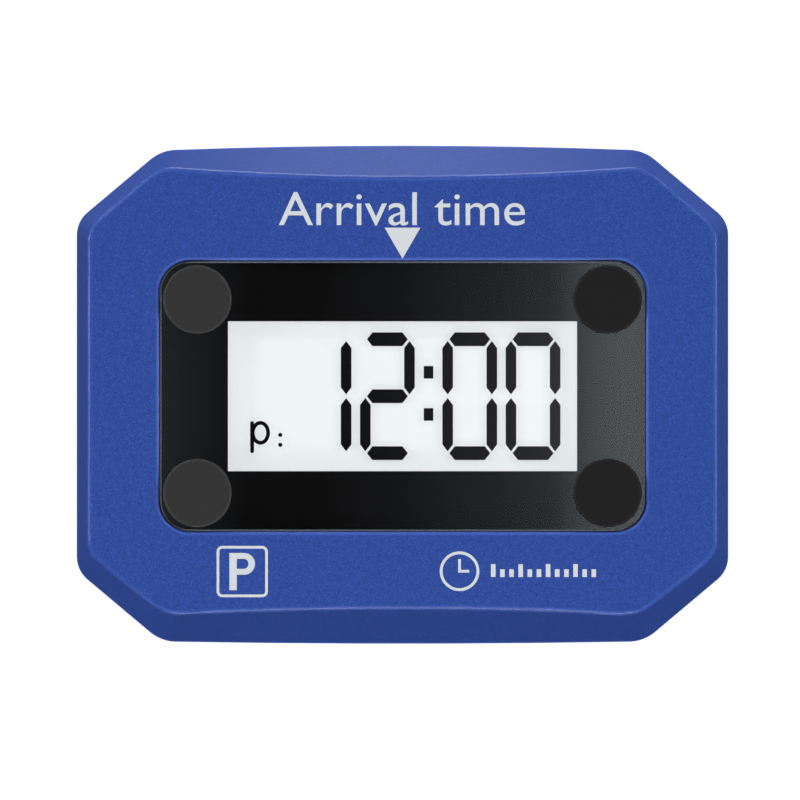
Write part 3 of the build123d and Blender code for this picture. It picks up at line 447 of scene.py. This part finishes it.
# Painted shade: the right dots are the left dots' grey plastic made darker
dot_right_shaded = moulded_plastic("hook_dot_grey_shaded", (0.0050, 0.0050, 0.0049), 0.12, 0.12, 0.8, 0.006,
                            edge_wear_and_highlight=0.9, shine=0.12, edge_reach=0.22, edge_lift=7.0)
key_grey = moulded_plastic("key_grey", (0.48, 0.5, 0.53), 0.2, 0.06, 0.5, 0.01, edge_wear_and_highlight=0.2)
carrier_white = moulded_plastic("carrier_white", (0.7, 0.7, 0.68), 0.3, 0.05, 0.55, 0.01)
nylon_black = moulded_plastic("nylon_black", (0.018, 0.018, 0.019), 0.2, 0.3, 0.5, 0.01)
epoxy_black = moulded_plastic("epoxy_black", (0.016, 0.016, 0.017), 0.15, 0.3, 0.6, 0.008)
glue_clear = moulded_plastic("glue_clear", (0.3, 0.3, 0.28), 0.5, 0.1, 0.35, 0.01)
ceramic = moulded_plastic("ceramic", (0.34, 0.25, 0.16), 0.2, 0.15, 0.5, 0.006)
mask_black = ink("mask_black", (0.0022, 0.0022, 0.0024), 0.6, 0.0)
segment_black = ink("segment_black", (0.0022, 0.0020, 0.0030), 0.6, 0.0)
tape_black = ink("tape_black", (0.02, 0.02, 0.02), 0.7)
white_ink = ink("white_ink", (0.423, 0.450, 0.469), 0.55)
key_ink = ink("key_ink", (0.02, 0.022, 0.03), 0.5)
label_film = ink("label_film", (0.66, 0.67, 0.69), 0.4)
label_ink = ink("label_ink", (0.05, 0.05, 0.055), 0.5)
lens_clear = clear_gloss("lens_clear", (0.995, 0.995, 0.995))
glass_clear = clear_pane("glass_clear", (0.03, 0.045, 0.04), 0.006)
polariser_film = clear_pane("polariser_film", (0.03, 0.035, 0.03), 0.008)
screw_steel = metal("screw_steel", (0.55, 0.55, 0.54), 0.32)
spring_steel = metal("spring_steel", (0.7, 0.69, 0.66), 0.26)
cell_steel = metal("cell_steel", (0.72, 0.72, 0.7), 0.22)
tinned = metal("tinned", (0.66, 0.67, 0.68), 0.35)

FINISHES = {
    "front_bezel": case_blue,
    "rear_cover": case_blue,
    "battery_door": case_blue,
    "lens": lens_clear,
    "lens_mask": mask_black,
    "lens_tape": tape_black,
    "front_polariser": polariser_film,
    "front_glass": glass_clear,
    "rear_glass": glass_clear,
    "reflector": reflector_material(),
    "zebra_strip": zebra_material(),
    "display_carrier": carrier_white,
    "circuit_board": board_material(),
    "controller_chip": epoxy_black,
    "motion_sensor": epoxy_black,
    "controller_pins": tinned,
    "quartz_crystal": cell_steel,
    "chip_parts": ceramic,
    "case_screws": screw_steel,
    "board_screws": screw_steel,
    "carrier_screws": screw_steel,
    "contact_bridge": spring_steel,
    "contact_negative": spring_steel,
    "contact_positive": spring_steel,
    "contact_spring_left": spring_steel,
    "contact_spring_right": spring_steel,
    "rating_label": label_film,
}
for key in KEYS:
    FINISHES[f"key_{key}"] = key_grey
    FINISHES[f"switch_base_{key}"] = nylon_black
    FINISHES[f"switch_plunger_{key}"] = nylon_black
    FINISHES[f"switch_shield_{key}"] = tinned
    FINISHES[f"switch_dome_{key}"] = spring_steel
for level in ("upper", "lower"):
    FINISHES[f"cell_{level}"] = cell_steel
    FINISHES[f"cell_jacket_{level}"] = jacket_of(level)
    for side, finish in (("left", dot_left), ("right", dot_right_shaded)):
        FINISHES[f"hook_dot_{level}_{side}"] = finish
        FINISHES[f"dot_glue_{level}_{side}"] = glue_clear

for name, obj in NODES.items():
    obj.data.materials.clear()
    obj.data.materials.append(FINISHES[name])

# The display's layers touch, so they are drawn in a hair, that no two faces coincide
for name in ("front_polariser", "front_glass", "rear_glass"):
    drawn_in = NODES[name].modifiers.new("drawn_in", "DISPLACE")
    drawn_in.mid_level = 0.0
    drawn_in.strength = -DRAWN_IN * MM


# ------------------------------------------------------------------ outlines, mm
def arc(x, z, radius, start, end, steps=24, radius_z=None):
    """Points along an arc, angles in degrees. With radius_z it is part of an ellipse."""
    tall = radius if radius_z is None else radius_z
    turns = [math.radians(start + (end - start) * step / steps) for step in range(steps + 1)]
    return [(x + radius * math.cos(turn), z + tall * math.sin(turn)) for turn in turns]


def round_outline(x, z, radius, radius_z=None):
    """A full circle or ellipse, a point every 10 degrees."""
    return arc(x, z, radius, 0, 350, 35, radius_z)


def box_outline(left, low, right, high):
    """A square-cornered rectangle."""
    return [(left, low), (right, low), (right, high), (left, high)]


def rounded(x, z, width, height, radius):
    """A rectangle with rounded corners."""
    points = []
    for turn, (side_x, side_z) in enumerate(((1, 1), (-1, 1), (-1, -1), (1, -1))):
        corner_x = x + side_x * (width / 2 - radius)
        corner_z = z + side_z * (height / 2 - radius)
        points += arc(corner_x, corner_z, radius, 90 * turn, 90 * turn + 90, 8)
    return points


def plus_outline(x, z, reach, half):
    """A plus sign that reaches so far from its centre, with arms of a half width."""
    return [(x - reach, z - half), (x - half, z - half), (x - half, z - reach),
            (x + half, z - reach), (x + half, z - half), (x + reach, z - half),
            (x + reach, z + half), (x + half, z + half), (x + half, z + reach),
            (x - half, z + reach), (x - half, z + half), (x - reach, z + half)]


def segment(x, z, length, width, point, upright):
    """A bar with both ends pointed."""
    half, side, shoulder = length / 2, width / 2, length / 2 - point
    corners = [(-half, 0), (-shoulder, side), (shoulder, side), (half, 0), (shoulder, -side),
               (-shoulder, -side)]
    if upright:
        return [(x + across, z + along) for along, across in corners]
    return [(x + along, z + across) for along, across in corners]


# ------------------------------------------------------------------ thin pieces
def drawn_mesh(name, curve):
    """The mesh of a flat curve or text, and its lowest and highest corners."""
    drawing = bpy.data.objects.new(name + "_drawing", curve)
    bpy.context.collection.objects.link(drawing)
    bpy.context.view_layer.update()
    corners = [Vector(corner) for corner in drawing.bound_box]
    low = [min(corner[axis] for corner in corners) for axis in range(3)]
    high = [max(corner[axis] for corner in corners) for axis in range(3)]
    evaluated = drawing.evaluated_get(bpy.context.evaluated_depsgraph_get())
    mesh = bpy.data.meshes.new_from_object(evaluated)
    mesh.name = name
    bpy.data.objects.remove(drawing)
    return mesh, low, high


def thin_piece(name, mesh, material, body):
    """A new piece of one material that rides on a body."""
    mesh.materials.clear()
    mesh.materials.append(material)
    piece = bpy.data.objects.new(name, mesh)
    bpy.context.collection.objects.link(piece)
    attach(piece, body)
    return piece


def flat_piece(name, outlines, front, thickness, material, body):
    """Thin print or film: closed outlines drawn in mm, facing -Y with their face at a depth.
    An outline inside another is a hole in it."""
    curve = bpy.data.curves.new(name, "CURVE")
    curve.dimensions = "2D"
    curve.fill_mode = "BOTH"
    curve.extrude = thickness * MM / 2
    for outline in outlines:
        spline = curve.splines.new("POLY")
        spline.points.add(len(outline) - 1)
        for point, (x, z) in zip(spline.points, outline):
            point.co = (x * MM, z * MM, 0, 1)
        spline.use_cyclic_u = True
    mesh = drawn_mesh(name, curve)[0]
    mesh.transform(FACING)
    mesh.transform(Matrix.Translation((0, front + thickness * MM / 2, 0)))
    thin_piece(name, mesh, material, body)


def lettering(name, words, left, right, base, cap, front, thickness, material, body):
    """Words set to a cap height, and drawn out to a width, in mm."""
    text = bpy.data.curves.new(name, "FONT")
    text.body = words
    text.size = 1.0
    text.resolution_u = 6
    mesh, low, high = drawn_mesh(name, text)
    wide = (right - left) * MM / (high[0] - low[0])
    tall = cap * MM / high[1]
    mesh.transform(Matrix.Translation((-low[0], 0, 0)))
    mesh.transform(Matrix.Diagonal((wide, tall, 1, 1)))
    mesh.transform(Matrix.Translation((left * MM, base * MM, 0)))
    mesh.transform(FACING)
    mesh.transform(Matrix.Translation((0, front, 0)))
    piece = thin_piece(name, mesh, material, body)
    thick = piece.modifiers.new("thick", "SOLIDIFY")
    thick.thickness = thickness * MM
    thick.offset = -1


# ------------------------------------------------------------------ printing on the bezel
INK_FACE = BEZEL_FRONT - INK_THICKNESS * MM


def bezel_print(name, outlines):
    """White print on the front of the case."""
    flat_piece(name, outlines, INK_FACE, INK_THICKNESS, white_ink, "case")


def sign_letter():
    """The letter P of the public parking sign: its outline and the hole in its bowl."""
    left, top, foot = SIGN_X - SIGN_LETTER_LEFT, SIGN_Z + SIGN_LETTER_HALF, SIGN_Z - SIGN_LETTER_HALF
    inner, thin = left + SIGN_LETTER_STROKE, SIGN_LETTER_STROKE * SIGN_LETTER_THIN
    bowl_low, bowl_z = top - 2 * BOWL_RADIUS, top - BOWL_RADIUS
    outline = [(left, foot), (inner, foot), (inner, bowl_low)]
    outline += arc(left + BOWL_X, bowl_z, BOWL_RADIUS, -90, 90, 20)
    outline.append((left, top))
    hole = [(inner, bowl_low + thin)]
    hole += arc(left + BOWL_HOLE_X, bowl_z, BOWL_RADIUS - thin, -90, 90, 16)
    hole.append((inner, top - thin))
    return [outline, hole]


def clock_hands():
    """Two hands at three o'clock, as one outline."""
    half = HAND_HALF_WIDTH
    return [(MARK_X - half, MARK_Z - half), (MARK_X + HOUR_HAND, MARK_Z - half),
            (MARK_X + HOUR_HAND, MARK_Z + half), (MARK_X + half, MARK_Z + half),
            (MARK_X + half, MARK_Z + MINUTE_HAND), (MARK_X - half, MARK_Z + MINUTE_HAND)]


def tick_row():
    """Even ticks, every third one taller."""
    pitch = (TICKS_RIGHT - TICKS_LEFT) / (TICK_COUNT - 0.5)
    low = TICKS_Z - TICK_HEIGHT / 2
    ticks = []
    for number in range(TICK_COUNT):
        left = TICKS_LEFT + number * pitch
        tall = TICK_HEIGHT if number % TALL_TICK_EVERY == 0 else TICK_HEIGHT * SHORT_TICK
        ticks.append(box_outline(left, low, left + pitch / 2, low + tall))
    return ticks


lettering("header_print", HEADER_WORDS, HEADER_LEFT, HEADER_RIGHT, HEADER_BASE, HEADER_CAP,
          INK_FACE, INK_THICKNESS, white_ink, "case")
bezel_print("pointer_print",
            [[(-POINTER_HALF, POINTER_TOP), (POINTER_HALF, POINTER_TOP), (0, POINTER_TIP)]])
sign_inner = SIGN_SIZE - 2 * SIGN_STROKE
sign_frame = [rounded(SIGN_X, SIGN_Z, SIGN_SIZE, SIGN_SIZE, SIGN_CORNER),
              rounded(SIGN_X, SIGN_Z, sign_inner, sign_inner, SIGN_CORNER - SIGN_STROKE)]
bezel_print("parking_sign_print", sign_frame + sign_letter())

# A plain clock face and a row of even ticks stand where an approval mark and number would
bezel_print("clock_mark_print",
            [arc(MARK_X, MARK_Z, MARK_RADIUS, 0, 351, 39),
             arc(MARK_X, MARK_Z, MARK_RADIUS - MARK_STROKE, 0, 351, 39),
             clock_hands()])
bezel_print("scale_print", tick_row())


# ------------------------------------------------------------------ marks on the back
def back_piece(name, outlines, back, thickness, body, material):
    """Thin print or paint on the back: its outer face at a depth, facing +Y."""
    front = back - thickness * MM
    flat_piece(name, outlines, front, thickness, material, body)


def middle(low, high):
    """The middle of a box, seen from the front, in mm."""
    return (low[0] + high[0]) / 2 / MM, (low[2] + high[2]) / 2 / MM


def drawn_cell(x, z, side):
    """A cell with its nub and plus sign to one side, and its minus sign to the other."""
    return [
        rounded(x, z, CELL_LENGTH, CELL_WIDTH, CELL_CORNER),
        rounded(x, z, CELL_LENGTH - 2 * CELL_LINE, CELL_WIDTH - 2 * CELL_LINE, CELL_INNER_CORNER),
        rounded(x + side * NUB_X, z, NUB_LENGTH, NUB_WIDTH, NUB_CORNER),
        rounded(x - side * MINUS_X, z, MINUS_LENGTH, MINUS_WIDTH, MINUS_CORNER),
        plus_outline(x + side * PLUS_X, z, PLUS_REACH, PLUS_HALF_WIDTH),
    ]


for key in KEYS:
    low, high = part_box(f"key_{key}")
    x, z = middle(low, high)
    drawing = {
        "minus": [rounded(x, z, KEY_MARK, KEY_MARK_WIDTH, KEY_MARK_CORNER)],
        "set": [round_outline(x, z, KEY_MARK / 2), round_outline(x, z, KEY_MARK / 2 - KEY_MARK_WIDTH)],
        "plus": [plus_outline(x, z, KEY_MARK / 2, KEY_MARK_WIDTH / 2)],
    }[key]
    back_piece(f"key_{key}_mark", drawing, high[1] - KEY_MARK_SUNK * MM, KEY_MARK_FILL, f"key_{key}",
               key_ink)

low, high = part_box("rating_label")
label_x, label_z = middle(low, high)
inset_wide = (high[0] - low[0]) / MM - 2 * BORDER_INSET
inset_tall = (high[2] - low[2]) / MM - 2 * BORDER_INSET
drawing = [
    rounded(label_x, label_z, inset_wide, inset_tall, BORDER_CORNER),
    rounded(label_x, label_z, inset_wide - 2 * BORDER_LINE, inset_tall - 2 * BORDER_LINE,
            BORDER_CORNER - BORDER_LINE),
]
# Two cells, nose to tail, as they lie in the box below
for side in (-1, 1):
    drawing += drawn_cell(label_x + CELLS_X, label_z + side * CELLS_APART, side)
for row, length in enumerate(RULE_LENGTHS):
    rule_z = label_z + RULES_TOP - RULE_PITCH * row
    drawing.append(rounded(label_x + RULES_END - length / 2, rule_z, length, RULE_WIDTH, RULE_CORNER))
# The label lies sunk in the cover, so its print stands on it and stays within the case
back_piece("label_print", drawing, high[1] + INK_THICKNESS * MM, INK_THICKNESS, "case", label_ink)

# ------------------------------------------------------------------ the display's segments
SEGMENT_FACE = SEGMENT_DEPTH - SEGMENT_THICKNESS * MM / 2


def display_print(name, outlines):
    """Dark shapes between the display's two glasses."""
    flat_piece(name, outlines, SEGMENT_FACE, SEGMENT_THICKNESS, segment_black, "case")


def digit(centre, lit):
    """The lit segments of a seven-segment digit, lettered a to g from the top, clockwise."""
    upright = dict(length=UPRIGHT_LENGTH, width=UPRIGHT_WIDTH, point=UPRIGHT_POINT, upright=True)
    level = dict(length=LEVEL_LENGTH, width=LEVEL_WIDTH, point=LEVEL_POINT, upright=False)
    left, right = centre - DIGIT_HALF_WIDTH, centre + DIGIT_HALF_WIDTH
    half = DIGIT_HALF_HEIGHT / 2
    places = {
        "a": (centre, DIGIT_HALF_HEIGHT, level),
        "b": (right, half, upright),
        "c": (right, -half, upright),
        "d": (centre, -DIGIT_HALF_HEIGHT, level),
        "e": (left, -half, upright),
        "f": (left, half, upright),
        "g": (centre, 0, level),
    }
    return [segment(x, z, **shape) for x, z, shape in (places[letter] for letter in lit)]


outlines = []
for name, centre in DIGIT_CENTRES.items():
    outlines += digit(centre, LIT[name])
for z in (COLON_HIGH, COLON_LOW):
    half_wide, half_tall = COLON_WIDTH / 2, COLON_HEIGHT / 2
    outlines.append(box_outline(COLON_X - half_wide, z - half_tall, COLON_X + half_wide, z + half_tall))
display_print("time_segments", outlines)

# The small letter that shows the disc is set for parking
stem = rounded(SMALL_STEM_LEFT + SMALL_STROKE / 2, SMALL_STEM_Z, SMALL_STROKE, SMALL_STEM_HEIGHT,
               SMALL_STROKE * 0.49)
bowl = [round_outline(SMALL_BOWL_X, SMALL_BOWL_Z, SMALL_BOWL_WIDE, SMALL_BOWL_TALL),
        round_outline(SMALL_BOWL_X, SMALL_BOWL_Z, SMALL_BOWL_WIDE - SMALL_STROKE,
                      SMALL_BOWL_TALL - SMALL_STROKE)]
display_print("parking_letter_stem", [stem])
display_print("parking_letter_bowl", bowl)
display_print("parking_letter_dots",
              [arc(SMALL_DOTS_X, z, SMALL_DOT_RADIUS, 0, 345, 23) for z in SMALL_DOTS_Z])

# ------------------------------------------------------------------ camera, lamps and stage
camera_data = bpy.data.cameras.new("camera")
camera_data.sensor_width = SENSOR
camera_data.lens = SENSOR * (CAMERA_DISTANCE + BEZEL_FRONT) / VIEW_WIDTH
camera_data.clip_end = 50
camera = bpy.data.objects.new("camera", camera_data)
camera.location = VIEW_CENTRE + Vector((0, -CAMERA_DISTANCE, 0))
camera.rotation_euler = (math.radians(90), 0, 0)
bpy.context.collection.objects.link(camera)
bpy.context.scene.camera = camera

for name, place, size, power, mirrored in LAMPS:
    light = bpy.data.lights.new(name, "AREA")
    light.shape = "RECTANGLE"
    light.size = size
    light.size_y = size
    light.energy = power
    lamp = bpy.data.objects.new(name, light)
    lamp.location = place
    lamp.rotation_euler = (-Vector(place)).to_track_quat("-Z", "Y").to_euler()
    lamp.visible_glossy = mirrored
    bpy.context.collection.objects.link(lamp)


def new_object(name, built):
    """An object from a bmesh, which is used up."""
    mesh = bpy.data.meshes.new(name)
    built.to_mesh(mesh)
    built.free()
    made = bpy.data.objects.new(name, mesh)
    bpy.context.collection.objects.link(made)
    return made


def sweep_floor():
    """A pale round floor that curves up into a wall all round, far from the object. It glows
    evenly, throws no shadow and lights nothing else."""
    floor_z, flat_radius = CASE_LOW.z - DOOR_TRAVEL - MM, WALL_RADIUS - WALL_CURVE
    profile = [(0.01, floor_z), (flat_radius, floor_z)]
    for step in range(1, CURVE_STEPS + 1):
        turn = math.radians(90 * step / CURVE_STEPS)
        out = WALL_RADIUS - WALL_CURVE * (1 - math.sin(turn))
        profile.append((out, floor_z + WALL_CURVE * (1 - math.cos(turn))))
    profile.append((WALL_RADIUS, WALL_HEIGHT))
    built = bmesh.new()
    rows = []
    for side in range(WALL_SIDES):
        turn = math.radians(360 * side / WALL_SIDES)
        rows.append([built.verts.new((out * math.cos(turn), out * math.sin(turn), z))
                     for out, z in profile])
    for side in range(WALL_SIDES):
        here, following = rows[side], rows[(side + 1) % WALL_SIDES]
        for level in range(len(profile) - 1):
            built.faces.new((here[level], following[level], following[level + 1], here[level + 1]))
    built.faces.new([row[0] for row in rows])
    floor = new_object("floor", built)
    for face in floor.data.polygons:
        face.use_smooth = True
    material, tree, shader = new_material("floor_white")
    cloud = grain(tree, 0.5, detail=2.0)
    pale = shades(tree, cloud, (0.86, 0.86, 0.86), (0.88, 0.88, 0.88))
    tree.links.new(pale, shader.inputs["Base Color"])
    shader.inputs["Roughness"].default_value = 0.9
    shader.inputs["Emission Color"].default_value = (1, 1, 1, 1)
    shader.inputs["Emission Strength"].default_value = 0.85
    floor.data.materials.append(material)
    floor.visible_diffuse = False
    floor.visible_glossy = False
    floor.visible_shadow = False


def reflection_card():
    """A dark card behind the camera, lighter to the right, that the window mirrors. The
    camera never sees it."""
    built = bmesh.new()
    y = -CAMERA_DISTANCE - CARD_GAP
    built.faces.new([built.verts.new((x, y, z)) for x, z in
                     box_outline(-CARD_HALF, -CARD_HALF, CARD_HALF, CARD_HALF)])
    card = new_object("reflection_card", built)
    material, tree, shader = new_material("reflection_card")
    tree.nodes.remove(shader)
    glow = node(tree, "ShaderNodeEmission")
    across = split(tree, object_place(tree)).outputs["X"]
    along = spread(tree, across, 0.0, 1.0, -CARD_SPAN, CARD_SPAN)
    ramp = node(tree, "ShaderNodeValToRGB")
    elements = ramp.color_ramp.elements
    while len(elements) < len(CARD_SHADES):
        elements.new(0.5)
    for element, (place, level) in zip(elements, CARD_SHADES):
        element.position = place
        element.color = (level * 0.93, level, level * 1.08, 1)
    tree.links.new(along, ramp.inputs["Fac"])
    tree.links.new(ramp.outputs["Color"], glow.inputs["Color"])
    tree.links.new(glow.outputs["Emission"], tree.nodes["Material Output"].inputs["Surface"])
    card.data.materials.append(material)
    card.visible_camera = False
    card.visible_shadow = False
    card.visible_diffuse = False


def studio_world():
    """Soft even light from all round, a little stronger from below, and dim behind the
    object, so that its sides stay deep in colour."""
    world = bpy.data.worlds.new("studio")
    world.use_nodes = True
    tree = world.node_tree
    way = split(tree, node(tree, "ShaderNodeTexCoord").outputs["Generated"])
    height = spread(tree, way.outputs["Z"], 0.0, 1.0, -1.0, 1.0)
    behind = spread(tree, way.outputs["Y"], 0.0, 1.0, -0.2, 0.6)
    sky = shades(tree, height, (0.38, 0.375, 0.37), (0.28, 0.28, 0.285))
    dimmed = colour_mix(tree, 1.0, sky, shades(tree, behind, (1, 1, 1), (0.25, 0.25, 0.25)), "MULTIPLY")
    tree.links.new(dimmed, tree.nodes["Background"].inputs["Color"])
    tree.nodes["Background"].inputs["Strength"].default_value = 1.0
    bpy.context.scene.world = world


sweep_floor()
reflection_card()
studio_world()
bpy.context.scene.view_settings.view_transform = "Standard"
bpy.context.scene.cycles.transparent_max_bounces = 32
